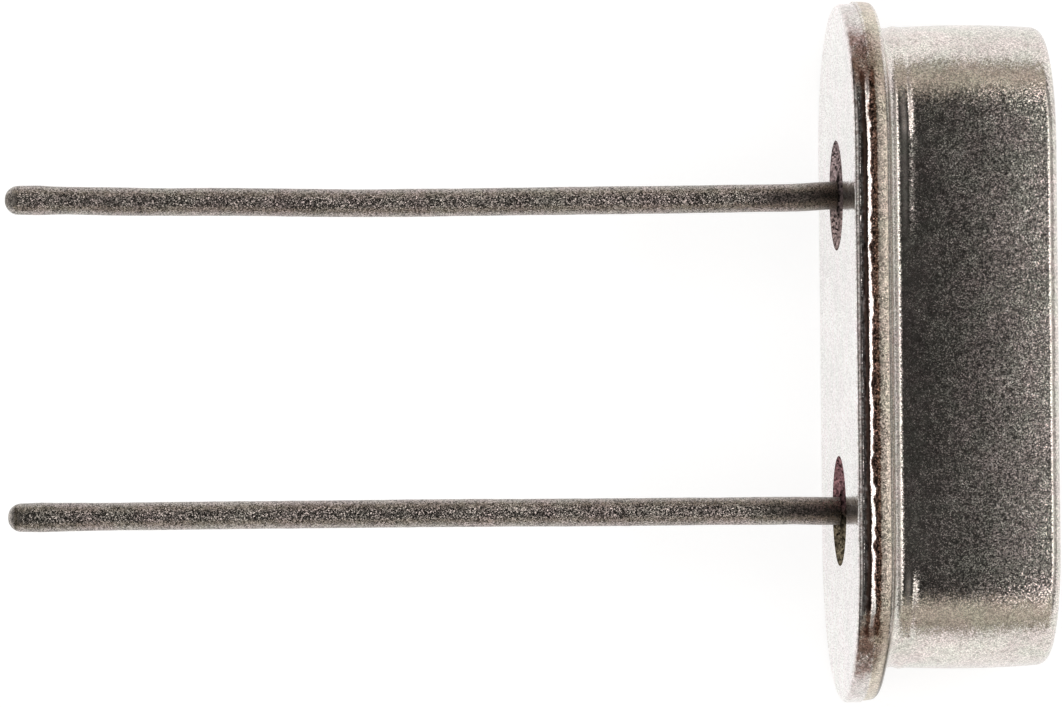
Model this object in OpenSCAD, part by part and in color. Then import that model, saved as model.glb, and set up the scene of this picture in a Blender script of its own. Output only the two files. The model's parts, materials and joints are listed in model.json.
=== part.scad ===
// Two-lead quartz crystal unit in a low, welded, obround metal can.
// Each piece is drawn with the can up and the leads down: z = 0 is the base's flat underside,
// the leads stand in a row along Y, and the spine of every obround outline lies on Y too.
// lay_down() then turns the whole unit onto its broad side, as it comes to rest on a table:
// it touches the table along the flange's edge and the can's top corner.

/* [Flange] */
// Length of the welded flange, over its round ends
flange_l = 10.82; // [10:0.05:14]
// Width of the welded flange
flange_w = 4.65; // [4.2:0.05:6]
// How far the flange stands out past the can's wall
overhang = 0.465; // [0.4:0.005:0.6]

/* [Can] */
// Height of the unit, from the base's underside to the can's flat top
body_h = 3.2; // [2.9:0.05:4.5]
// Thickness of the can's flange and top, which keep the sheet's full thickness
sheet_t = 0.3; // [0.25:0.01:0.4]
// Thickness of the can's drawn wall
wall_t = 0.28; // [0.15:0.01:0.35]
// Rounding of the can's top corner, outside
top_r = 0.18; // [0.1:0.01:0.4]
// Rounding of the can's top corner, inside
top_inner_r = 0.12; // [0.05:0.01:0.2]
// Fillet where the wall turns out into the flange, outside
foot_r = 0.2; // [0.1:0.01:0.25]
// Rounding of the can's mouth, where the inside of the wall turns out into the flange
mouth_r = 0.3; // [0.1:0.01:0.4]
// Rounding of the flange's outer edge, on the can's side
rim_r = 0.2; // [0.05:0.01:0.2]
// Rounding of the flange's outer edge at the weld seam, which is nearly flush
seam_r = 0.02; // [0.01:0.01:0.05]
// How far off centre the can is welded on its base, lengthways
weld_shift = 0.03; // [0:0.01:0.05]
// How far off centre the can's shell stands in its trimmed flange, lengthways
trim_shift = 0.05; // [0:0.01:0.05]

/* [Base] */
// Thickness of the base's flange
base_t = 0.27; // [0.2:0.01:0.35]
// Height of the base's raised platform above its flange
platform_h = 0.36; // [0.3:0.01:0.6]
// Clearance all round between the platform and the can's wall
platform_gap = 0.12; // [0.12:0.01:0.2]
// Rounding of the platform's top edge
platform_r = 0.1; // [0.05:0.01:0.2]
// Rounding of the base's bottom edge
base_r = 0.09; // [0.05:0.01:0.1]
// Rounding of the base's flange at the weld seam
base_seam_r = 0.02; // [0.01:0.01:0.1]

/* [Leads and seals] */
// Distance between the two leads' axes
lead_pitch = 4.88; // [4.5:0.02:6]
// Diameter of a lead
lead_d = 0.43; // [0.35:0.01:0.55]
// Length of a lead below the base
lead_l = 12.85; // [3:0.05:20]
// Rounding of a lead's free end
tip_r = 0.17; // [0.05:0.01:0.17]
// Diameter of the nail head that ends a lead inside the can
head_d = 0.9; // [0.7:0.05:1.2]
// Thickness of the nail head
head_t = 0.12; // [0.08:0.01:0.2]
// Rounding of the nail head's edge
head_r = 0.04; // [0.02:0.01:0.06]
// Radius of the flare that leads from the wire into the nail head, inside the glass
neck_r = 0.7; // [0.5:0.05:0.8]
// Diameter of a glass seal
seal_d = 1.71; // [1.5:0.01:2.1]
// Depth of the dished ring that the glass forms round a lead, underneath
meniscus = 0.06; // [0.02:0.01:0.1]

/* [Crystal mount] */
// Thickness of a support's spring strip
strip_t = 0.1; // [0.06:0.01:0.15]
// Width of a support's spring strip
strip_w = 1.3; // [0.9:0.05:1.5]
// Inside radius of the strip's bends
bend_r = 0.08; // [0.05:0.01:0.12]
// How far a support's foot reaches from the lead's axis to the outside of its riser
foot_reach = 0.85; // [0.7:0.05:1]
// How far a support's foot reaches from the lead's axis, inwards
foot_back = 0.4; // [0.3:0.05:0.6]
// Height of a support's shelf above its foot
shelf_rise = 0.5; // [0.35:0.01:0.8]
// Height of the end stop above the shelf
stop_h = 0.42; // [0.35:0.01:0.5]
// Clearance between the end stop and the inside of the can's end
stop_gap = 0.45; // [0.3:0.05:0.6]
// Clearance between the quartz strip's end and the end stop
blank_gap = 0.12; // [0.1:0.01:0.2]
// Width of the quartz strip
blank_w = 1.9; // [1.4:0.05:2.2]
// Thickness of the quartz strip
blank_t = 0.2; // [0.1:0.01:0.3]
// Thickness of the electrode films
film_t = 0.02; // [0.01:0.005:0.03]
// Length of an electrode's middle pad
pad_l = 3.6; // [2.5:0.1:4.5]
// Width of an electrode's middle pad
pad_w = 1.4; // [0.9:0.05:1.6]
// Width of the tab that joins a pad to one end of the quartz strip
tab_w = 0.6; // [0.3:0.05:0.8]
// Thickness of the adhesive between a shelf and the quartz strip
bond_t = 0.06; // [0.04:0.01:0.1]
// Radius of a dab of adhesive
dab_r = 0.42; // [0.36:0.01:0.5]

/* [Hidden] */
$fn = 96;

// How far cutting shapes run past the surfaces that they cut
past = 1;
// How far joined shapes run into each other
lap = 0.05;

// Every outline is a row of round ends on one spine, so all overhangs are even
spine = flange_l - flange_w;
rim_reach = flange_w / 2;
wall_reach = rim_reach - overhang;
cavity_reach = wall_reach - wall_t;
platform_reach = cavity_reach - platform_gap;

// Levels, up from the base's underside
seam_z = base_t;
rim_z = seam_z + sheet_t;
platform_z = base_t + platform_h;
head_z = platform_z + head_t;
shelf_z = head_z + strip_t + shelf_rise;
blank_z = shelf_z + bond_t;
ceiling_z = body_h - sheet_t;

// Places along Y, out from the middle
stop_y = spine / 2 + cavity_reach - stop_gap - strip_t;
blank_end = stop_y - blank_gap;

// Resting pose: the table is the common tangent of the flange's rounded edge and the can's corner
edge_z = rim_z - rim_r;
edge_reach = rim_reach - rim_r;
corner_z = body_h - top_r;
corner_reach = wall_reach - top_r;
apart = norm([corner_z - edge_z, edge_reach - corner_reach]);
rest_tilt = atan2(edge_reach - corner_reach, corner_z - edge_z) - asin((top_r - rim_r) / apart);
axis_height = edge_reach * cos(rest_tilt) + edge_z * sin(rest_tilt) + rim_r;
can_end_x = corner_z * cos(rest_tilt) + corner_reach * sin(rest_tilt) + top_r;
tip_x = (lead_l - tip_r) * cos(rest_tilt) + (lead_d / 2 - tip_r) * sin(rest_tilt) + tip_r;
middle = [(can_end_x - tip_x) / 2, weld_shift / 2];

// Turns a piece from upright to lying, with the origin on the table under the unit's middle
module lay_down() {
    translate([-middle.x, -middle.y, axis_height])
        rotate([0, 90 + rest_tilt, 0])
            children();
}

// Sweeps a half-section, x out from the spine and y up, all the way round an obround outline
module obround_sweep() {
    for (turn = [0, 180])
        rotate([0, 0, turn])
            translate([0, spine / 2, 0])
                rotate_extrude(angle = 180)
                    children();
    translate([0, spine / 2, 0])
        rotate([90, 0, 0])
            linear_extrude(height = spine) {
                children();
                mirror([1, 0])
                    children();
            }
}

// The square that holds a corner's rounding, less the rounding itself. Turned to point at a
// corner it cuts a round edge, and turned into an inside corner it fills a fillet
module corner(at, r, turn, over) {
    translate(at)
        rotate(turn)
            difference() {
                translate([-over, -over])
                    square(r + over);
                translate([r, r])
                    circle(r);
            }
}

// Half-section of a plate or a solid, out to reach, with its outer corners rounded
module plate_section(reach, low, high, low_r, high_r) {
    difference() {
        translate([0, low])
            square([reach, high - low]);
        if (low_r > 0)
            corner([reach, low], low_r, 90, past);
        if (high_r > 0)
            corner([reach, high], high_r, 180, past);
    }
}

// Half-section of the drawn shell, filled in to the spine, with the fillet at its foot
module shell_section() {
    plate_section(wall_reach, seam_z, body_h, 0, top_r);
    corner([wall_reach, rim_z], foot_r, 0, lap);
}

// Half-section of the room inside the shell, flared at its mouth
module cavity_section() {
    plate_section(cavity_reach, seam_z - past, ceiling_z, 0, top_inner_r);
    corner([cavity_reach, seam_z], mouth_r, 0, past);
}

// The shell and its flange are one drawn sheet, but the flange is trimmed a little off centre
module can() {
    color("#b3aaa0")
        lay_down()
            translate([0, weld_shift, 0])
                difference() {
                    union() {
                        obround_sweep()
                            plate_section(rim_reach, seam_z, rim_z, seam_r, rim_r);
                        translate([0, trim_shift, 0])
                            obround_sweep()
                                shell_section();
                    }
                    translate([0, trim_shift, 0])
                        obround_sweep()
                            cavity_section();
                }
}

module base_section() {
    plate_section(rim_reach, 0, seam_z, base_r, base_seam_r);
    plate_section(platform_reach, 0, platform_z, 0, platform_r);
}

module base_plate() {
    color("#c8c4bf")
        lay_down()
            difference() {
                obround_sweep()
                    base_section();
                for (side = [-1, 1])
                    translate([0, side * lead_pitch / 2, -past])
                        cylinder(d = seal_d, h = platform_z + 2 * past);
            }
}

// Half-section of a wire with a rounded free end, and a nail head that sits on the glass. The
// flare is tangent to the wire and ends at the head's edge, level with the platform
module lead_section() {
    wire_reach = lead_d / 2;
    flare_w = head_d / 2 - wire_reach;
    flare_h = sqrt(neck_r * neck_r - (neck_r - flare_w) * (neck_r - flare_w));
    plate_section(wire_reach, -lead_l, head_z, tip_r, 0);
    plate_section(head_d / 2, platform_z, head_z, 0, head_r);
    difference() {
        translate([0, platform_z - flare_h])
            square([head_d / 2, flare_h + lap]);
        translate([wire_reach + neck_r, platform_z - flare_h])
            circle(neck_r);
    }
}

module lead(side) {
    color("#6f665f")
        lay_down()
            translate([0, side * lead_pitch / 2, 0])
                rotate_extrude()
                    lead_section();
}

// The glass fills its hole, level with the platform, and dishes round the lead underneath
module glass_seal(side) {
    ring_w = (seal_d - lead_d) / 2;
    dish_r = (ring_w * ring_w / 4 + meniscus * meniscus) / (2 * meniscus);
    color("#4a443f")
        lay_down()
            translate([0, side * lead_pitch / 2, 0])
                rotate_extrude()
                    difference() {
                        square([seal_d / 2, platform_z]);
                        lead_section();
                        translate([lead_d / 2 + ring_w / 2, meniscus - dish_r])
                            circle(dish_r);
                    }
}

// A quarter ring of strip, from the direction turn to turn + 90 degrees about its centre
module bend(at, turn) {
    translate(at)
        rotate(turn)
            intersection() {
                difference() {
                    circle(bend_r + strip_t);
                    circle(bend_r);
                }
                square(bend_r + strip_t);
            }
}

// Side view of a support, x out along the unit's length and y up from the base's underside:
// a foot on the nail head, a riser, a shelf under the quartz strip's end and an end stop
module support_outline() {
    turn_r = bend_r + strip_t;
    riser = lead_pitch / 2 + foot_reach;
    foot_end = riser - turn_r;
    shelf_start = riser + bend_r;
    shelf_end = stop_y - bend_r;
    translate([lead_pitch / 2 - foot_back, head_z])
        square([foot_end - lead_pitch / 2 + foot_back, strip_t]);
    bend([foot_end, head_z + turn_r], 270);
    translate([riser - strip_t, head_z + turn_r])
        square([strip_t, shelf_z - head_z - 2 * turn_r]);
    bend([shelf_start, shelf_z - turn_r], 90);
    translate([shelf_start, shelf_z - strip_t])
        square([shelf_end - shelf_start, strip_t]);
    bend([shelf_end, shelf_z + bend_r], 270);
    translate([stop_y, shelf_z + bend_r])
        square([strip_t, stop_h - bend_r]);
}

// The outline stands in the plane of the unit's length, for the side at +Y or at -Y
module support_body(side) {
    mirror([0, side > 0 ? 0 : 1, 0])
        translate([-strip_w / 2, 0, 0])
            rotate([90, 0, 90])
                linear_extrude(height = strip_w)
                    support_outline();
}

module support(side) {
    color("#9a958c")
        lay_down()
            support_body(side);
}

module blank_body() {
    translate([-blank_w / 2, -blank_end, blank_z])
        cube([blank_w, 2 * blank_end, blank_t]);
}

module quartz_blank() {
    color("#dfe6e8", 0.6)
        lay_down()
            blank_body();
}

// A film on the quartz strip: a middle pad with round corners, and a tab out to the end at side
module electrode_body(side, low) {
    pad_r = (pad_w - tab_w) / 2;
    translate([0, 0, low])
        linear_extrude(height = film_t) {
            difference() {
                square([pad_w, pad_l], center = true);
                for (turn = [0, 180]) {
                    rotate(turn)
                        corner([-pad_w / 2, -pad_l / 2], pad_r, 0, past);
                    rotate(turn)
                        corner([pad_w / 2, -pad_l / 2], pad_r, 90, past);
                }
            }
            translate([-tab_w / 2, side > 0 ? 0 : -blank_end])
                square([tab_w, blank_end]);
        }
}

module electrode_top() {
    color("#d8cfa8")
        lay_down()
            electrode_body(-1, blank_z + blank_t);
}

module electrode_bottom() {
    color("#d8cfa8")
        lay_down()
            electrode_body(1, blank_z - film_t);
}

// A dab of paste on the shelf, round the quartz strip's end, less the strip, its films and the
// support
module adhesive(side) {
    color("#8d8b88")
        lay_down()
            difference() {
                intersection() {
                    translate([0, side * blank_end, shelf_z])
                        sphere(dab_r);
                    translate([-past, -stop_y, shelf_z])
                        cube([2 * past, 2 * stop_y, past]);
                }
                support_body(side);
                blank_body();
                electrode_body(-1, blank_z + blank_t);
                electrode_body(1, blank_z - film_t);
            }
}

can();
base_plate();
glass_seal(1);  // glass_seal_1
glass_seal(-1);  // glass_seal_2
lead(1);  // lead_1
lead(-1);  // lead_2
support(1);  // support_1
support(-1);  // support_2
quartz_blank();
electrode_top();
electrode_bottom();
adhesive(1);  // adhesive_1
adhesive(-1);  // adhesive_2
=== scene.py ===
import json
import math

import bmesh
import bpy
from mathutils import Matrix, Vector, noise


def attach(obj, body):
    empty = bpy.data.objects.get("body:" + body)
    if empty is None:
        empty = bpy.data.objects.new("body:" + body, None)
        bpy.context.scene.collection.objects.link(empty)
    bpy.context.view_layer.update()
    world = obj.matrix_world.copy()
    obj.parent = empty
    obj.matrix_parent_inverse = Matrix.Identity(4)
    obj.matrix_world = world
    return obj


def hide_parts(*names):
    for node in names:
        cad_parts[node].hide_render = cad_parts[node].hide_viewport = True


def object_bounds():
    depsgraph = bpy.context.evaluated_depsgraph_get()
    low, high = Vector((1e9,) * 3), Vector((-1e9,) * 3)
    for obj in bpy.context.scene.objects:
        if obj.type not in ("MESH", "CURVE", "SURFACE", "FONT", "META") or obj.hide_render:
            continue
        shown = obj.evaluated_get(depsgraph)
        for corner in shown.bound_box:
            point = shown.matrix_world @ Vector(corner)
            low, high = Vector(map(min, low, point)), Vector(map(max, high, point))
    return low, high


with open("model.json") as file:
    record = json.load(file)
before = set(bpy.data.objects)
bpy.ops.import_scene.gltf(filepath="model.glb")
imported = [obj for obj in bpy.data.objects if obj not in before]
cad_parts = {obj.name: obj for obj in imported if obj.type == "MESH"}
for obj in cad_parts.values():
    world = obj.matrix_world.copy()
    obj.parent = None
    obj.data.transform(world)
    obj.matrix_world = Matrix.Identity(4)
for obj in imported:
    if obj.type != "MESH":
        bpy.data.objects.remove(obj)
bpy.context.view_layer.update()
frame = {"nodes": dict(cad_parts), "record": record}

# A low two-lead quartz crystal unit, lying on its broad side. Every piece is built upright, in
# millimetres: the base's flat underside is z = 0, the can is up, the leads point down in a row
# along y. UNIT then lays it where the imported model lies. -x is the side that faces the camera.

MM = 0.001

# Section of the can: how far its flange overhangs the wall, its sheet and its roundings
OVERHANG = 0.465
SHEET_T = 0.3
WALL_T = 0.28
TOP_R = 0.18
TOP_INNER_R = 0.12
FOOT_R = 0.2
MOUTH_R = 0.3
# How far the can stands off the middle of its flange
TRIM_SHIFT = 0.05
# Section of the base: its bottom edge, and the platform that fits inside the can
BASE_R = 0.09
PLATFORM_GAP = 0.12
PLATFORM_R = 0.1
# The can flange's edge: a slight crown that starts above the seam, then a tighter rounding
CROWN_START = 0.035
CROWN_R = 1.15
CROWN_TURN = 9.3
# How far the flange's edge stays in, so that its tighter rounding keeps inside the CAD model's
EDGE_IN = 0.0035
# How far the drawn wall bellies out between its foot and its top
BELLY = 0.039
# A faint line pressed into the wall above its foot: full round both ends, and a slighter share of
# it along the sides, which runs out over these distances from the +y end
DRAW_LINE_Z = 0.885
DRAW_LINE_W = 0.07
DRAW_LINE_H = 0.0232
DRAW_LINE_SLIGHT = 0.46
DRAW_LINE_END = (0.9, 1.7)
# The bead that the weld raises along the base's flange, its distance from the seam and its waviness
BEAD_DOWN = 0.083
BEAD_W = 0.047
BEAD_H = 0.0138
BEAD_WAVE = 0.015
# Where the bead runs out, in degrees round an end
BEAD_END = (29, 32)
# The unevenness of the base's edge below the bead
DENTS = 0.006
# How much thinner the flange's edge gets towards its tip at the -y end
DROOP = 0.06

# Leads and seals: the free end's rounding, the nail head, the flare to it, and the glass's dish
TIP_R = 0.2
HEAD_D = 0.9
HEAD_R = 0.04
NECK_R = 0.7
MENISCUS = 0.06
# How far each lead strays along y, at distances down from the base
LEAD_BOW = {
    "lead_1": ((0, 0), (0.8, -0.03), (3, -0.042), (7, -0.055), (10, -0.01), (12.85, 0.04)),
    "lead_2": ((0, 0), (0.8, 0.015), (3, 0.022), (7, 0.042), (10, 0.047), (12.85, 0.048)),
}
# How much thicker a lead is near its free end, at what distance from it and over what length, and
# how uneven it is all along
TIP_SWELL = 0.012
TIP_SWELL_AT = 0.45
TIP_SWELL_L = 0.3
WIRE_UNEVEN = 0.006
# Where a dark line runs round each lead, at a distance up from its free end, and its width
TIP_LINE = {"lead_1": (0.0, 0.04), "lead_2": (0.11, 0.025)}
# How far down from the base painted shade darkens the leads, and how darkly
ROOT_SHADE = 0.8
ROOT_SHADE_DARK = {"lead_1": 0.75, "lead_2": 0.45}

# Size of the facets that the metal and the glass are made of, and the slight colour casts that
# metal wanders between
GRAIN = 0.015
GLASS_GRAIN = 0.032
CASTS = ((1.04, 0.975, 1.0), (0.96, 1.01, 0.97))
# How much more the facets differ and tilt where the weld has burnt the metal
BURNT_UNEVEN = 1.4
BURNT_TILT = 1.0
# How faint the broad clouds in the metal's tone are, and its finer blotches in tone and in gloss
CLOUD = 0.12
BLOTCH = 0.08
BLOTCH_GLOSS = 0.035
# The width of a streak underneath the base, as a share of its length
STREAK = 0.12
# How far the glass's facets tilt, and how much of its colour is left in the painted shadow and
# reflection of the lead beside it
GLASS_TILT = 0.4
GLASS_IN_LEAD_SHADOW = 0.1

# What the can flange's sheared edge, the weld's heat and its scorch marks do to the colour; and the
# painted shade along the flange's top edge, and the dark line near each lead's tip with the painted
# shade near its root
EDGE_TINT = (0.95, 0.9, 0.83, 1)
HEAT_TINT = (0.33, 0.245, 0.22, 1)
SCORCH_TINT = (0.28, 0.19, 0.16, 1)
FLANGE_SHADE_TINT = (0.12, 0.1, 0.06, 1)
LINE_AND_ROOT_SHADE_TINT = (0.3, 0.28, 0.23, 1)
# How much rougher the sheared edge is
EDGE_DULL = 0.14
# How strong the heat is on the can's flange, and on its sides before the round ends begin
CAN_HEAT = 0.72
EARLY_HEAT = 0.11
# How strong the painted shade along the flange's top edge is away from the -y end
SIDE_FLANGE_SHADE = 0.5

# Steps round a round end and along a side, for the can and for the base
CAN_STEPS = (96, 150)
BASE_STEPS = (96, 240)
# Steps round a seal, the hole it fills, and a lead
SEAL_STEPS = 72
WIRE_STEPS = 48

# Camera, as the object was seen: from above, tipped a little towards the can's end. Its tilt and
# roll are in degrees, and the middle of its view is measured from the middle of the base's underside
CAMERA_TILT = 4.7
CAMERA_ROLL = 0.6
CAMERA_DISTANCE = 150.0
VIEW_WIDTH = 16.443
VIEW_CENTRE = (-4.738, -0.0116)
SENSOR = 36.0

# Studio, in metres: half the floor's width, its grey and its own glow where a ray shows it, and
# the soft light's place, width and power
FLOOR_HALF = 2.0
FLOOR_GREY = (0.4, 0.4, 0.4, 1)
FLOOR_GLOW = 0.76
LAMP_AT = (0.02, 0.03, 0.35)
LAMP_SIZE = 0.3
LAMP_POWER = 0.6

# The room that the metal shows: its brightness at each angle from overhead towards +x. Towards both
# ends, between two angles, it is dimmed to a share, though by no more than an amount; then come
# cluttered walls
BANDS = ((-90, 0.2), (-60, 0.22), (-49, 0.65), (-33, 0.65), (-25, 0.35), (-12, 0.22), (2, 0.055),
         (18, 0.016), (25, 0.22), (36, 0.34), (38.5, 2.6), (47, 2.6), (51, 0.5), (90, 0.45))
BAND_CAST = (1, 0.97, 0.94)
DIMMED = 0.45
DIMMED_AT = (15, 45)
MOST_DIMMED = 0.4
WALL_COLOUR = (0.58, 0.535, 0.46)
# Where the walls take over at the +y end and the -y end, in degrees from overhead
WALL_START = (50, 55)
WALL_START_LOW = (-49, -54)


# ---------------------------------------------------------------------------------- placing

def unit_matrix():
    """From the upright unit to its resting place, from the base's underside as the record has it."""
    seat = next(m for m in frame["record"]["mounts"] if m["name"] == "seat")
    up = -Vector(seat["axis"]).normalized()
    along = Vector((0, 1, 0))
    turn = Matrix((along.cross(up), along, up)).transposed()
    return Matrix.Translation(seat["pos_m"]) @ turn.to_4x4()


UNIT = unit_matrix()


def upright_box(node):
    """Lowest and highest corners of a CAD node in the upright unit, in millimetres."""
    back = UNIT.inverted()
    points = [back @ v.co / MM for v in frame["nodes"][node].data.vertices]
    low = Vector(min(p[i] for p in points) for i in range(3))
    high = Vector(max(p[i] for p in points) for i in range(3))
    return low, high


can_low, can_high = upright_box("can")
base_low, base_high = upright_box("base_plate")
lead_low, lead_high = upright_box("lead_1")
seal_low, seal_high = upright_box("glass_seal_1")
pin = next(m for m in frame["record"]["mounts"] if m["name"] == "lead_pin_1")

rim_reach = base_high.x - EDGE_IN
spine = base_high.y - base_high.x
weld_shift = (can_low.y + can_high.y) / 2
seam_z = can_low.z
body_h = can_high.z
platform_z = base_high.z
head_z = lead_high.z
lead_l = -lead_low.z
wire_r = pin["dims"]["r_mm"]
seal_r = (seal_high.y - seal_low.y) / 2
lead_y = (seal_high.y + seal_low.y) / 2
rim_z = seam_z + SHEET_T
wall_reach = rim_reach - OVERHANG
cavity_reach = wall_reach - WALL_T
platform_reach = cavity_reach - PLATFORM_GAP


# ---------------------------------------------------------------------------------- sections

def arc(centre, radius, start, end, steps):
    """Points on an arc of a section, from angle start to end in degrees, both included."""
    points = []
    for i in range(steps + 1):
        a = math.radians(start + (end - start) * i / steps)
        points.append((centre[0] + radius * math.cos(a), centre[1] + radius * math.sin(a)))
    return points


def run(start, end, steps):
    """Points on a straight stretch of a section, without its ends."""
    return [tuple(a + (b - a) * i / steps for a, b in zip(start, end)) for i in range(1, steps)]


def rim_edge():
    """The crown and the rounding of the can flange's edge, up to the flange's flat top."""
    start = seam_z + CROWN_START
    turn = math.radians(CROWN_TURN)
    rim_r = (rim_z - start - CROWN_R * math.sin(turn)) / (1 - math.sin(turn))
    crown = (rim_reach - CROWN_R, start)
    centre = (crown[0] + (CROWN_R - rim_r) * math.cos(turn),
              crown[1] + (CROWN_R - rim_r) * math.sin(turn))
    return arc(crown, CROWN_R, 0, CROWN_TURN, 8)[:-1] + arc(centre, rim_r, CROWN_TURN, 90, 24)


def can_section():
    """Round the sheet: from the middle of the ceiling, down, out to the rim and up to the top."""
    ceiling = body_h - SHEET_T
    points = [(0, ceiling), (cavity_reach * 0.5, ceiling)]
    points += arc((cavity_reach - TOP_INNER_R, ceiling - TOP_INNER_R), TOP_INNER_R, 90, 0, 6)
    points += run(points[-1], (cavity_reach, seam_z + MOUTH_R), 8)
    points += arc((cavity_reach + MOUTH_R, seam_z + MOUTH_R), MOUTH_R, 180, 270, 10)
    points += [(rim_reach - 0.05, seam_z), (rim_reach, seam_z)]
    points += run(points[-1], (rim_reach, seam_z + CROWN_START), 3)
    points += rim_edge()
    points += arc((wall_reach + FOOT_R, rim_z + FOOT_R), FOOT_R, 270, 180, 24)
    above_line = (wall_reach, DRAW_LINE_Z + 3 * DRAW_LINE_W)
    points += run(points[-1], above_line, 30)
    points += run(above_line, (wall_reach, body_h - TOP_R), 48)
    points += arc((wall_reach - TOP_R, body_h - TOP_R), TOP_R, 0, 90, 24)
    points += [(wall_reach - TOP_R - 0.04, body_h), (0.6, body_h), (0, body_h)]
    return points


def base_section():
    """The base's edge, from just inside its underside's rim to just inside its platform's top."""
    points = [(rim_reach - BASE_R - 0.03, 0)]
    points += arc((rim_reach - BASE_R, BASE_R), BASE_R, 270, 360, 14)
    points += run(points[-1], (rim_reach, seam_z), 30)
    points += [(rim_reach, seam_z), (platform_reach, seam_z)]
    points += arc((platform_reach - PLATFORM_R, platform_z - PLATFORM_R), PLATFORM_R, 0, 90, 8)
    points += [(platform_reach - PLATFORM_R - 0.03, platform_z)]
    return points


def neck_section():
    """The flare of a lead inside the glass, from the wire up to the nail head's edge."""
    flare_w = HEAD_D / 2 - wire_r
    turn = math.degrees(math.acos((NECK_R - flare_w) / NECK_R))
    flare_h = NECK_R * math.sin(math.radians(turn))
    return arc((wire_r + NECK_R, platform_z - flare_h), NECK_R, 180, 180 - turn, 8)


def lead_section():
    """From the middle of a lead's free end up to the middle of its nail head."""
    points = [(0, -lead_l)]
    points += arc((wire_r - TIP_R, -lead_l + TIP_R), TIP_R, 270, 360, 14)
    points += run(points[-1], (wire_r, -lead_l + 1.2), 24)
    points += run((wire_r, -lead_l + 1.2), (wire_r, 0), 170)
    points += [(wire_r, 0)]
    points += neck_section()
    points += arc((HEAD_D / 2 - HEAD_R, head_z - HEAD_R), HEAD_R, 0, 90, 5)
    points += [(0, head_z)]
    return points


def seal_section():
    """Round the glass ring: up its outside, in along its top, down the lead and out underneath."""
    ring_w = seal_r - wire_r
    dish_r = (ring_w * ring_w / 4 + MENISCUS * MENISCUS) / (2 * MENISCUS)
    half = math.degrees(math.asin(ring_w / 2 / dish_r))
    points = [(seal_r, 0), (seal_r, platform_z)]
    points += list(reversed(neck_section()))
    points += arc((wire_r + ring_w / 2, MENISCUS - dish_r), dish_r, 90 + half, 90 - half, 16)
    return points


# ---------------------------------------------------------------------------------- meshes

def stations(arc_steps, straight_steps):
    """The way round the obround: (y on the spine, outward direction, distance gone)."""
    found, gone = [], 0.0
    for side in (1, -1):
        for i in range(straight_steps):
            found.append((side * spine * (2 * i / straight_steps - 1), (side, 0.0), gone))
            gone += 2 * spine / straight_steps
        start = 0 if side == 1 else math.pi
        for i in range(arc_steps):
            a = start + math.pi * i / arc_steps
            found.append((side * spine, (math.cos(a), math.sin(a)), gone))
            gone += math.pi * rim_reach / arc_steps
    return found


def join_rings(bm, rings, closed=False):
    """Faces between each ring of vertices and the next."""
    for low, high in zip(rings, rings[1:] + rings[:1] if closed else rings[1:]):
        count = len(low)
        for i in range(count):
            j = (i + 1) % count
            bm.faces.new((low[i], low[j], high[j], high[i]))


def swept(section, around, place, **marks):
    """A surface with the section carried round; place says where a point comes at a station.

    Each mark gives a value from 0 to 1 in the same way, which the material reads by its name."""
    bm = bmesh.new()
    layers = [(bm.verts.layers.float.new(name), mark_of) for name, mark_of in marks.items()]
    rings = []
    for point in section:
        rings.append([bm.verts.new(UNIT @ (Vector(place(point, at)) * MM)) for at in around])
        for vert, at in zip(rings[-1], around):
            for layer, mark_of in layers:
                vert[layer] = mark_of(point, at)
    return bm, rings


def sharpen(bm, ring):
    """Keeps a hard edge along a closed ring of vertices."""
    for a, b in zip(ring, ring[1:] + ring[:1]):
        bm.edges.get((a, b)).smooth = False


def along_obround(point, at, shift=0.0):
    """A section's point (reach, z) carried to a station, and moved by shift along y."""
    reach, z = point
    y, (dx, dy), _ = at
    return reach * dx, y + reach * dy + shift, z


def add_piece(name, bm, material, slot, *nodes):
    """Makes a mesh into a piece that rides on the part and stands for its CAD nodes."""
    bmesh.ops.remove_doubles(bm, verts=bm.verts, dist=1e-8)
    bmesh.ops.recalc_face_normals(bm, faces=bm.faces)
    for face in bm.faces:
        face.smooth = True
    mesh = bpy.data.meshes.new(name)
    bm.to_mesh(mesh)
    bm.free()
    mesh.materials.append(material)
    piece = bpy.data.objects.new(name, mesh)
    bpy.context.scene.collection.objects.link(piece)
    weighted = piece.modifiers.new("weighted_normals", "WEIGHTED_NORMAL")
    weighted.keep_sharp = True
    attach(piece, "root")
    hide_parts(*nodes)


def ramp(x, start, end):
    """From 0 at start to 1 at end, smoothly."""
    t = min(1.0, max(0.0, (x - start) / (end - start)))
    return t * t * (3 - 2 * t)


def round_the_end(at):
    """How far round an end of the obround a station is, in degrees: 0 along the straight sides."""
    return math.degrees(math.asin(min(1.0, abs(at[1][1]))))


def heat(at, trace):
    """Where the weld has browned the rim: where a round end begins, with only a trace beyond."""
    turn = round_the_end(at)
    return ramp(turn, 22, 31) * (1 - (1 - trace) * ramp(turn, 46, 60)) * (1 - ramp(turn, 70, 90))


def bead_line(at):
    """The height that the weld's bead runs at, straying up and down, and its thickness there."""
    _, (dx, _), gone = at
    stray = noise.noise(Vector((gone * 1.6, 3.1, dx)))
    stray += 0.6 * noise.noise(Vector((gone * 6, 8.2, dx)))
    lumps = 0.7 * noise.noise(Vector((gone * 2.5, 1.7, dx)))
    lumps += 0.8 * noise.noise(Vector((gone * 7, 5, dx)))
    return seam_z - BEAD_DOWN + BEAD_WAVE * stray, 1 + lumps + 0.4 * ramp(round_the_end(at), 8, 25)


def bead(z, at):
    """How far the bead stands out at a height; it runs out where the round ends begin."""
    middle, lumps = bead_line(at)
    across = (z - middle) / (BEAD_W * lumps)
    return BEAD_H * lumps * math.exp(-across * across) * (1 - ramp(round_the_end(at), *BEAD_END))


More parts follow.
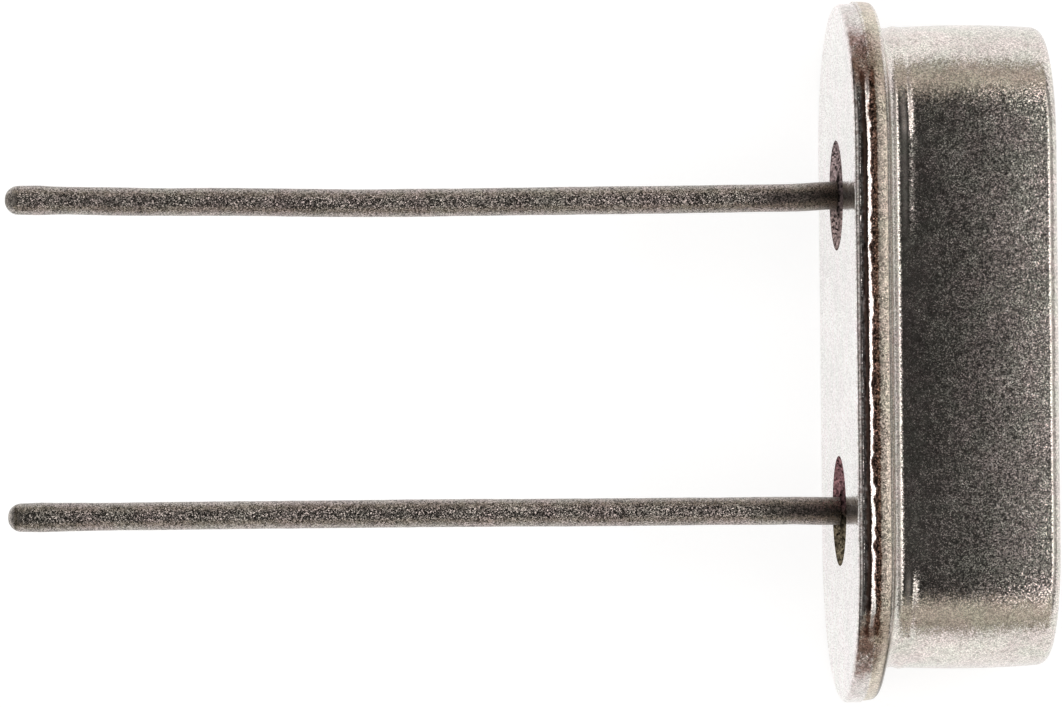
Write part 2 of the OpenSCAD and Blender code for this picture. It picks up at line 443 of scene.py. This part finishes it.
def dents(z, at):
    """The slight unevenness of the base's edge below the bead."""
    _, (dx, dy), gone = at
    bumps = noise.noise(Vector((gone * 5, z * 14, 2 * dx)))
    bumps += 0.5 * noise.noise(Vector((gone * 11, z * 25, dy)))
    return DENTS * bumps * (1 - ramp(z, 0.07, 0.12))


def scorch(z, at):
    """How darkly the weld has scorched the metal beside its seam; the bead's upper side is bright."""
    middle, lumps = bead_line(at)
    across = (z - middle - 0.7 * BEAD_W * lumps) / (0.6 * BEAD_W * lumps)
    near = 0.25 * ramp(z, 0, 0.03) + 0.75 * ramp(z, 0.1, 0.165)
    near *= 1 - ramp(z, seam_z + 0.065, seam_z + 0.1)
    return near * (1 - math.exp(-across * across)) * (1 - ramp(round_the_end(at), 29, 37))


def belly(z):
    """How far the wall stands out at a height, from none at its foot to none at its top."""
    low, high = rim_z + FOOT_R, body_h - TOP_R
    t = min(1.0, max(0.0, (z - low) / (high - low)))
    return 4 * BELLY * t * (1 - t)


def draw_line(z, at):
    """The height of the faint line: full round the ends, slight where it runs out along the sides."""
    y, (_, dy), gone = at
    slight = DRAW_LINE_SLIGHT * (1 - ramp(spine - y, *DRAW_LINE_END))
    strength = max(slight, ramp(dy, 0, 0.15), ramp(-dy, 0.12, 0.3))
    strength *= 1 + 0.08 * noise.noise(Vector((gone * 3, 0.4, 2.2)))
    across = (z - DRAW_LINE_Z) / DRAW_LINE_W
    return DRAW_LINE_H * strength * math.exp(-across * across)


def make_can(material):
    def place(point, at):
        reach, z = point
        in_flange = z <= rim_z and reach > wall_reach + FOOT_R * 1.01
        outside = reach > cavity_reach + WALL_T / 2
        if outside and not in_flange:
            reach += belly(z) + draw_line(z, at)
        if in_flange:
            outer = ramp(reach, wall_reach + FOOT_R, rim_reach) * max(0.0, z - seam_z) / SHEET_T
            z -= DROOP * outer * ramp(-at[1][1], 0.4, 0.9)
        return along_obround((reach, z), at, weld_shift + (0 if in_flange else TRIM_SHIFT))

    def on_edge(point):
        return seam_z <= point[1] < rim_z and point[0] > wall_reach + FOOT_R

    def edge(point, at):
        rise = min(1.0, (point[1] - seam_z) / (2 * CROWN_START))
        return rise * (1 - ramp(point[1], rim_z - 0.1, rim_z - 0.02)) if on_edge(point) else 0.0

    def browned(point, at):
        above_seam = 1 - 0.85 * ramp(point[1], seam_z + 0.06, seam_z + 0.2)
        turn = round_the_end(at)
        warmed = EARLY_HEAT * ramp(turn, 2, 18) * (1 - ramp(turn, 46, 60))
        return max(warmed, CAN_HEAT * above_seam * heat(at, 0.05)) if on_edge(point) else 0.0

    def scorched(point, at):
        return scorch(point[1], at) if on_edge(point) else 0.0

    # Painted shade along the top rounding of the flange's edge, darkest at the -y end
    def stained(point, at):
        _, (_, dy), _ = at
        at_low_end = ramp(-dy, 0.5, 0.62)
        near_top = math.exp(-((rim_z - 0.035 - point[1]) / 0.035) ** 2)
        strength = SIDE_FLANGE_SHADE * (1 - ramp(dy, 0.3, 0.6)) + (1 - SIDE_FLANGE_SHADE) * at_low_end
        return near_top * strength if on_edge(point) else 0.0

    section = can_section()
    bm, rings = swept(section, stations(*CAN_STEPS), place, edge=edge, browned=browned,
                      scorched=scorched, stained=stained)
    join_rings(bm, rings)
    sharpen(bm, rings[section.index((rim_reach, seam_z))])
    add_piece("can_shell", bm, material, "can_metal", "can")


def fill_flat(bm, edge_loops):
    """A flat face between closed rows of vertices: the first is its outline, the rest its holes."""
    edges = []
    for loop in edge_loops:
        for a, b in zip(loop, loop[1:] + loop[:1]):
            edges.append(bm.edges.get((a, b)) or bm.edges.new((a, b)))
    bmesh.ops.triangle_fill(bm, use_beauty=True, edges=edges)


def turns(steps):
    """The angles of the steps round a circle."""
    return [2 * math.pi * i / steps for i in range(steps)]


def hole_ring(bm, y, z):
    """The edge of the hole that a seal fills, as vertices."""
    return [bm.verts.new(UNIT @ (Vector((seal_r * math.cos(a), y + seal_r * math.sin(a), z)) * MM))
            for a in turns(SEAL_STEPS)]


def make_base(material):
    def place(point, at):
        reach, z = point
        if reach == rim_reach:
            reach += bead(z, at) + min(0.0, dents(z, at) - 0.5 * DENTS)
        return along_obround((reach, z), at)

    def browned(point, at):
        return heat(at, 0.3) * ramp(point[1], 0, 0.05)

    def scorched(point, at):
        return scorch(point[1], at) if point[0] > wall_reach else 0.0

    section = base_section()
    bm, rings = swept(section, stations(*BASE_STEPS), place, browned=browned, scorched=scorched)
    join_rings(bm, rings)
    sharpen(bm, rings[section.index((rim_reach, seam_z))])
    low = [hole_ring(bm, side * lead_y, 0) for side in (1, -1)]
    high = [hole_ring(bm, side * lead_y, platform_z) for side in (1, -1)]
    fill_flat(bm, [rings[0], *low])
    fill_flat(bm, [rings[-1], *high])
    for bottom, top in zip(low, high):
        join_rings(bm, [bottom, top])
        sharpen(bm, bottom)
        sharpen(bm, top)
    add_piece("base", bm, material, "base_metal", "base_plate")


def smooth_between(points, x):
    """The value at x on a smooth line through the points."""
    for (x0, v0), (x1, v1) in zip(points, points[1:]):
        if x <= x1:
            t = max(0.0, (x - x0) / (x1 - x0))
            return v0 + (v1 - v0) * t * t * (3 - 2 * t)
    return points[-1][1]


def make_lead(node, side, material):
    bow = LEAD_BOW[node]
    line_at, line_w = TIP_LINE[node]

    def place(point, a):
        r, z = point
        down = max(0.0, -z)
        # The swelling and the unevenness show sideways only, so the lead keeps its height
        out = min(1.0, down / 0.3) * abs(math.sin(a)) / wire_r
        near_tip = (lead_l - down - TIP_SWELL_AT) / TIP_SWELL_L
        r *= 1 + out * TIP_SWELL * math.exp(-near_tip * near_tip)
        over, beside = math.cos(a) * wire_r, math.sin(a) * wire_r
        bump = noise.noise(Vector((3 * over, side * 7, down * 1.3)))
        bump += 0.5 * noise.noise(Vector((9 * over, 9 * beside, down * 5)))
        r *= 1 + out * WIRE_UNEVEN * bump
        return r * math.cos(a), side * lead_y + smooth_between(bow, down) + r * math.sin(a), z

    def dark(point, a):
        from_tip = (lead_l + point[1] - line_at) / line_w
        # Painted shade on the lead near the glass, fading out further down
        painted_root_shade = ROOT_SHADE_DARK[node] * (1 - ramp(-point[1], 0, ROOT_SHADE))
        return max(math.exp(-from_tip * from_tip), painted_root_shade)

    bm, rings = swept(lead_section(), turns(WIRE_STEPS), place, dark=dark)
    join_rings(bm, rings)
    add_piece(node.replace("lead", "wire"), bm, material, "tinned_wire", node)


def make_seal(node, side, material):
    def place(point, a):
        return point[0] * math.cos(a), side * lead_y + point[0] * math.sin(a), point[1]

    # The lead's painted shadow and reflection on the glass, near it and along its line
    def near_lead(point, a):
        beside = 1 - ramp(abs(point[0] * math.sin(a)), 0.8 * wire_r, 1.3 * wire_r)
        return max(1 - ramp(point[0], wire_r, 0.6 * seal_r), 0.9 * beside)

    def lower(point, a):
        return 1 - ramp(math.sin(a), -0.4, 0.4)

    bm, rings = swept(seal_section(), turns(SEAL_STEPS), place, near_lead=near_lead, lower=lower)
    join_rings(bm, rings, closed=True)
    add_piece(node.replace("glass_seal", "glass"), bm, material, "seal_glass", node)


# ---------------------------------------------------------------------------------- materials

def add_node(tree, kind, inputs=None, **settings):
    """A node with its settings; an input is a value, or a socket to link from."""
    node = tree.nodes.new(kind)
    for name, value in settings.items():
        setattr(node, name, value)
    for name, value in (inputs or {}).items():
        if isinstance(value, bpy.types.NodeSocket):
            tree.links.new(value, node.inputs[name])
        else:
            node.inputs[name].default_value = value
    return node


def maths(tree, operation, a, b=0.0):
    return add_node(tree, "ShaderNodeMath", {0: a, 1: b}, operation=operation).outputs[0]


def vector_maths(tree, operation, a, b):
    return add_node(tree, "ShaderNodeVectorMath", {0: a, 1: b}, operation=operation).outputs[0]


def spread(tree, value, low, high, start=0.3, end=0.7):
    """Maps a value from start..end, which is a noise's usual range, to low..high."""
    return add_node(tree, "ShaderNodeMapRange", {"Value": value, "From Min": start, "From Max": end,
                                                 "To Min": low, "To Max": high}).outputs[0]


def place_on(tree, drawn_out=False):
    """Where a point of the piece is; underneath, what is drawn out runs in long upright streaks."""
    place = add_node(tree, "ShaderNodeTexCoord").outputs["Object"]
    if not drawn_out:
        return place
    normal = add_node(tree, "ShaderNodeNewGeometry").outputs["Normal"]
    down = -UNIT.col[2].xyz
    facing = add_node(tree, "ShaderNodeVectorMath", {0: normal, 1: down},
                      operation="DOT_PRODUCT").outputs["Value"]
    underneath = maths(tree, "GREATER_THAN", facing, 0.9)
    height = spread(tree, underneath, 1, STREAK, 0, 1)
    factors = add_node(tree, "ShaderNodeCombineXYZ", {0: 1.0, 1: 1.0, 2: height}).outputs[0]
    return vector_maths(tree, "MULTIPLY", place, factors)


def speckle(tree, size, detail=2.0, rough=0.55):
    """A noise whose light and dark blotches are size millimetres apart."""
    inputs = {"Vector": place_on(tree), "Scale": 1 / (size * MM), "Detail": detail, "Roughness": rough}
    return add_node(tree, "ShaderNodeTexNoise", inputs).outputs["Fac"]


def mark(tree, name):
    """The mark that the mesh carries under this name, or 0 where it has none."""
    return add_node(tree, "ShaderNodeAttribute", attribute_name=name).outputs["Fac"]


def blend(tree, amount, first, second):
    """From the first colour to the second."""
    mix = add_node(tree, "ShaderNodeMix", {"Factor": amount, 6: first, 7: second}, data_type="RGBA")
    return mix.outputs[2]


def multiplied(tree, amount, colour, factor):
    """The colour, multiplied by the factor as far as the amount says."""
    mix = add_node(tree, "ShaderNodeMix", {"Factor": amount, 6: colour, 7: factor},
                   data_type="RGBA", blend_type="MULTIPLY")
    return mix.outputs[2]


def weld_marks_and_painted_shade(tree, tint, gloss):
    """What welding and trimming leave on the rim: a dull sheared edge, heat and scorch; and painted
    shade along its top edge.
    """
    fine = speckle(tree, 0.07)
    sheared = spread(tree, maths(tree, "ADD", mark(tree, "edge"), spread(tree, fine, -0.25, 0.25)),
                     0, 1, 0.42, 0.58)
    scorched = spread(tree, maths(tree, "ADD", mark(tree, "scorched"), spread(tree, fine, 0.3, -0.3)),
                      0, 1, 0.1, 0.75)
    mottle = spread(tree, speckle(tree, 0.12, 4.0, 0.7), 0.45, 1.5)
    tint = multiplied(tree, sheared, tint, EDGE_TINT)
    tint = multiplied(tree, scorched, tint, SCORCH_TINT)
    tint = multiplied(tree, maths(tree, "MULTIPLY", mark(tree, "browned"), mottle), tint, HEAT_TINT)
    # Painted shade along the flange's top edge
    tint = multiplied(tree, mark(tree, "stained"), tint, FLANGE_SHADE_TINT)
    return tint, maths(tree, "ADD", gloss, maths(tree, "MULTIPLY", sheared, EDGE_DULL))


def facets(tree, size, drawn_out):
    """Three random numbers for each of the tiny facets that a grainy surface is made of."""
    inputs = {"Vector": place_on(tree, drawn_out), "Scale": 1 / (size * MM)}
    return add_node(tree, "ShaderNodeTexVoronoi", inputs).outputs["Color"]


def scaled(tree, colour, factor):
    """The colour, lighter or darker by the factor."""
    inputs = {0: colour, "Scale": factor}
    return add_node(tree, "ShaderNodeVectorMath", inputs, operation="SCALE").outputs[0]


def tilted(tree, random, tilt):
    """The surface's normal, with each facet turned at random by up to about tilt radians."""
    normal = add_node(tree, "ShaderNodeNewGeometry").outputs["Normal"]
    offset = vector_maths(tree, "SUBTRACT", random, (0.5, 0.5, 0.5))
    offset = scaled(tree, offset, maths(tree, "MULTIPLY", tilt, 2.0))
    turned = vector_maths(tree, "ADD", offset, normal)
    return add_node(tree, "ShaderNodeVectorMath", {0: turned}, operation="NORMALIZE").outputs[0]


def metal(name, colour, roughness, uneven, tilt, welded=False, drawn_out=False):
    """Satin metal of tiny tilted facets that differ in tone and tint, under broad faint clouds.

    Where the weld has burnt the rim, the facets differ and tilt more."""
    material = bpy.data.materials.new(name)
    material.use_nodes = True
    tree = material.node_tree
    shader = tree.nodes["Principled BSDF"]
    random = facets(tree, GRAIN, drawn_out)
    tone, dull, cast = add_node(tree, "ShaderNodeSeparateXYZ", {0: random}).outputs
    if welded:
        burnt = maths(tree, "MAXIMUM", mark(tree, "browned"), mark(tree, "scorched"))
        uneven = spread(tree, burnt, uneven, (1 + BURNT_UNEVEN) * uneven, 0, 1)
        tilt = spread(tree, burnt, tilt, (1 + BURNT_TILT) * tilt, 0, 1)
    broad = speckle(tree, 0.9, 4.0, 0.65)
    tone = maths(tree, "ADD", maths(tree, "MULTIPLY", spread(tree, tone, -1, 1, 0, 1), uneven), 1.0)
    tone = maths(tree, "MULTIPLY", tone, spread(tree, broad, 1 - CLOUD, 1 + CLOUD))
    hue = spread(tree, speckle(tree, 0.5, 3.0), 0, 1)
    hue = maths(tree, "ADD", hue, spread(tree, cast, -0.4, 0.4, 0, 1))
    first, second = [tuple(c * h for c, h in zip(colour, casts)) + (1,) for casts in CASTS]
    tint = blend(tree, hue, first, second)
    blotch = speckle(tree, 0.14, 3.0, 0.6)
    tone = maths(tree, "MULTIPLY", tone, spread(tree, blotch, 1 - BLOTCH, 1 + BLOTCH))
    tint = scaled(tree, tint, tone)
    gloss = maths(tree, "ADD", spread(tree, dull, 0, 0.12, 0, 1), spread(tree, broad, -0.02, 0.03))
    gloss = maths(tree, "ADD", gloss, spread(tree, blotch, -BLOTCH_GLOSS, BLOTCH_GLOSS))
    gloss = maths(tree, "ADD", gloss, roughness)
    if welded:
        tint, gloss = weld_marks_and_painted_shade(tree, tint, gloss)
    # The dark line near each lead's tip, and painted shade near its root
    tint = multiplied(tree, mark(tree, "dark"), tint, LINE_AND_ROOT_SHADE_TINT)
    tree.links.new(tint, shader.inputs["Base Color"])
    tree.links.new(gloss, shader.inputs["Roughness"])
    tree.links.new(tilted(tree, random, tilt), shader.inputs["Normal"])
    shader.inputs["Metallic"].default_value = 1.0
    return material


def seal_glass(name, first, second):
    """Dark grainy glass of one colour above and one below; the lead's painted shadow and reflection
    blacken it.
    """
    material = bpy.data.materials.new(name)
    material.use_nodes = True
    tree = material.node_tree
    shader = tree.nodes["Principled BSDF"]
    random = facets(tree, GLASS_GRAIN, drawn_out=True)
    tone = add_node(tree, "ShaderNodeSeparateXYZ", {0: random}).outputs[0]
    tint = blend(tree, mark(tree, "lower"), first, second)
    tint = scaled(tree, tint, spread(tree, tone, 0.0, 2.0, 0, 1))
    # Painted shadow and reflection of the lead, nearly black beside it
    tint = scaled(tree, tint, spread(tree, mark(tree, "near_lead"), 1, GLASS_IN_LEAD_SHADOW, 0, 1))
    tree.links.new(tint, shader.inputs["Base Color"])
    tree.links.new(tilted(tree, random, GLASS_TILT), shader.inputs["Normal"])
    shader.inputs["Roughness"].default_value = 0.5
    shader.inputs["Specular IOR Level"].default_value = 0.0
    return material


def mottled(name, first, second, roughness):
    """A non-metal that wanders between two shades."""
    material = bpy.data.materials.new(name)
    material.use_nodes = True
    tree = material.node_tree
    shader = tree.nodes["Principled BSDF"]
    tint = blend(tree, spread(tree, speckle(tree, 0.3, 3.0), 0, 1), first, second)
    tree.links.new(tint, shader.inputs["Base Color"])
    gloss = spread(tree, speckle(tree, 0.1), roughness - 0.03, roughness + 0.03)
    tree.links.new(gloss, shader.inputs["Roughness"])
    return material


def paint_node(name, material):
    """Gives a CAD node that stays its material."""
    slots = frame["nodes"][name].data.materials
    for i in range(len(slots)):
        slots[i] = material


# ---------------------------------------------------------------------------------- studio

def make_camera():
    """Looks down on the unit from above, through a long lens."""
    tilt, roll = math.radians(CAMERA_TILT), math.radians(CAMERA_ROLL)
    back = Vector((math.sin(tilt), 0, math.cos(tilt)))
    level = Vector((math.cos(tilt), 0, -math.sin(tilt)))
    side = Vector((0, 1, 0))
    right = math.cos(roll) * level - math.sin(roll) * side
    up = math.sin(roll) * level + math.cos(roll) * side
    centre = UNIT.translation + (right * VIEW_CENTRE[0] + up * VIEW_CENTRE[1]) * MM
    data = bpy.data.cameras.new("camera")
    data.sensor_width = SENSOR
    data.lens = SENSOR * CAMERA_DISTANCE / VIEW_WIDTH
    data.clip_start, data.clip_end = 0.01, 10
    camera = bpy.data.objects.new("camera", data)
    camera.matrix_world = Matrix.Translation(centre + back * CAMERA_DISTANCE * MM) @ Matrix(
        (right, up, back)).transposed().to_4x4()
    bpy.context.scene.collection.objects.link(camera)
    bpy.context.scene.camera = camera


def seen_ray(tree, names=("Is Camera Ray", "Is Glossy Ray", "Is Transmission Ray")):
    """1 for a ray that shows the thing, straight or in metal or glass."""
    path = add_node(tree, "ShaderNodeLightPath")
    total = path.outputs[names[0]]
    for name in names[1:]:
        total = maths(tree, "MAXIMUM", total, path.outputs[name])
    return total


def make_floor():
    """A pale floor that keeps a soft shadow."""
    data = bpy.data.meshes.new("floor")
    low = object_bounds()[0].z
    corners = [(x * FLOOR_HALF, y * FLOOR_HALF, low) for x, y in ((-1, -1), (1, -1), (1, 1), (-1, 1))]
    data.from_pydata(corners, [], [(0, 1, 2, 3)])
    floor = bpy.data.objects.new("floor", data)
    bpy.context.scene.collection.objects.link(floor)
    material = bpy.data.materials.new("floor")
    material.use_nodes = True
    tree = material.node_tree
    tree.nodes.clear()
    diffuse = add_node(tree, "ShaderNodeBsdfDiffuse", {"Color": FLOOR_GREY})
    strength = maths(tree, "MULTIPLY", seen_ray(tree), FLOOR_GLOW)
    glow = add_node(tree, "ShaderNodeEmission", {"Strength": strength})
    both = add_node(tree, "ShaderNodeAddShader", {0: diffuse.outputs[0], 1: glow.outputs[0]})
    add_node(tree, "ShaderNodeOutputMaterial", {"Surface": both.outputs[0]})
    material.cycles.emission_sampling = "NONE"
    data.materials.append(material)


def smooth_step(tree, value, start, end):
    """From 0 at start to 1 at end, smoothly, as a node."""
    return add_node(tree, "ShaderNodeMapRange", {"Value": value, "From Min": start, "From Max": end},
                    interpolation_type="SMOOTHSTEP").outputs[0]


def make_world():
    """The room as metal shows it: dark overhead, a bright strip to one side, pale walls at its ends."""
    world = bpy.data.worlds.new("studio")
    bpy.context.scene.world = world
    world.use_nodes = True
    tree = world.node_tree
    tree.nodes.clear()
    way = add_node(tree, "ShaderNodeTexCoord").outputs["Generated"]
    x, y, z = add_node(tree, "ShaderNodeSeparateXYZ", {0: way}).outputs
    across = maths(tree, "ARCTAN2", x, z)
    across = maths(tree, "ADD", maths(tree, "MULTIPLY", across, 1 / math.pi), 0.5)
    along = maths(tree, "MULTIPLY", maths(tree, "ARCSINE", y), 180 / math.pi)

    levels = add_node(tree, "ShaderNodeValToRGB", {"Fac": across})
    stops = levels.color_ramp.elements
    while len(stops) < len(BANDS):
        stops.new(0.5)
    for stop, (angle, level) in zip(stops, BANDS):
        stop.position = angle / 180 + 0.5
        stop.color = tuple(level * c for c in BAND_CAST) + (1,)
    share = spread(tree, maths(tree, "ABSOLUTE", along), 1, DIMMED, *DIMMED_AT)
    dimmed = scaled(tree, levels.outputs[0], share)
    at_least = vector_maths(tree, "SUBTRACT", levels.outputs[0], (MOST_DIMMED,) * 3)
    middle = vector_maths(tree, "MAXIMUM", dimmed, at_least)

    clutter = add_node(tree, "ShaderNodeTexNoise", {"Vector": way, "Scale": 18.0, "Detail": 1.0})
    walls = scaled(tree, WALL_COLOUR, spread(tree, clutter.outputs["Fac"], 0.2, 1.8))
    walls = scaled(tree, walls, spread(tree, z, 0.55, 1, 0, 0.15))
    walls = scaled(tree, walls, spread(tree, along, 1, 0.86, 30, 60))
    ends = maths(tree, "MAXIMUM", smooth_step(tree, along, *WALL_START),
                 smooth_step(tree, along, *WALL_START_LOW))
    room = blend(tree, ends, middle, walls)
    shown = blend(tree, seen_ray(tree, ("Is Camera Ray",)), room, (1, 1, 1, 1))
    sky = add_node(tree, "ShaderNodeBackground", {"Color": shown, "Strength": 1.0})
    add_node(tree, "ShaderNodeOutputWorld", {"Surface": sky.outputs[0]})


def make_lamp():
    """A broad soft light from above, which metal doesn't show."""
    data = bpy.data.lights.new("soft_light", "AREA")
    data.shape = "SQUARE"
    data.size = LAMP_SIZE
    data.energy = LAMP_POWER
    lamp = bpy.data.objects.new("soft_light", data)
    lamp.location = LAMP_AT
    lamp.rotation_euler = (-Vector(LAMP_AT)).to_track_quat("-Z", "Y").to_euler()
    lamp.visible_glossy = False
    bpy.context.scene.collection.objects.link(lamp)


# ---------------------------------------------------------------------------------- scene

make_camera()
make_world()
make_lamp()
make_floor()

can_metal = metal("can_metal", (0.66, 0.62, 0.58), roughness=0.12, uneven=0.42, tilt=0.08, welded=True)
base_metal = metal("base_metal", (0.8, 0.765, 0.75), roughness=0.1, uneven=0.28, tilt=0.04,
                   welded=True, drawn_out=True)
tinned_wire = metal("tinned_wire", (0.34, 0.305, 0.285), roughness=0.25, uneven=0.9, tilt=0.2)
purple_glass = seal_glass("purple_glass", (0.59, 0.46, 0.47, 1), (0.58, 0.45, 0.44, 1))
black_glass = seal_glass("black_glass", (0.46, 0.25, 0.27, 1), (0.32, 0.27, 0.19, 1))
make_can(can_metal)
make_base(base_metal)
for number, side, glass in (("1", 1, purple_glass), ("2", -1, black_glass)):
    make_lead("lead_" + number, side, tinned_wire)
    make_seal("glass_seal_" + number, side, glass)

spring_strip = metal("spring_strip", (0.62, 0.6, 0.56), roughness=0.2, uneven=0.1, tilt=0.03)
silver_film = metal("silver_film", (0.86, 0.84, 0.78), roughness=0.15, uneven=0.08, tilt=0.02)
silver_paste = mottled("silver_paste", (0.52, 0.51, 0.5, 1), (0.4, 0.39, 0.38, 1), roughness=0.7)
quartz = mottled("quartz", (0.9, 0.93, 0.95, 1), (0.84, 0.88, 0.9, 1), roughness=0.08)
quartz.node_tree.nodes["Principled BSDF"].inputs["Transmission Weight"].default_value = 0.8
paint_node("quartz_blank", quartz)
for which in ("top", "bottom"):
    paint_node("electrode_" + which, silver_film)
for which in ("1", "2"):
    paint_node("support_" + which, spring_strip)
    paint_node("adhesive_" + which, silver_paste)

scene = bpy.context.scene
scene.view_settings.view_transform = "Standard"

bpy.context.view_layer.update()
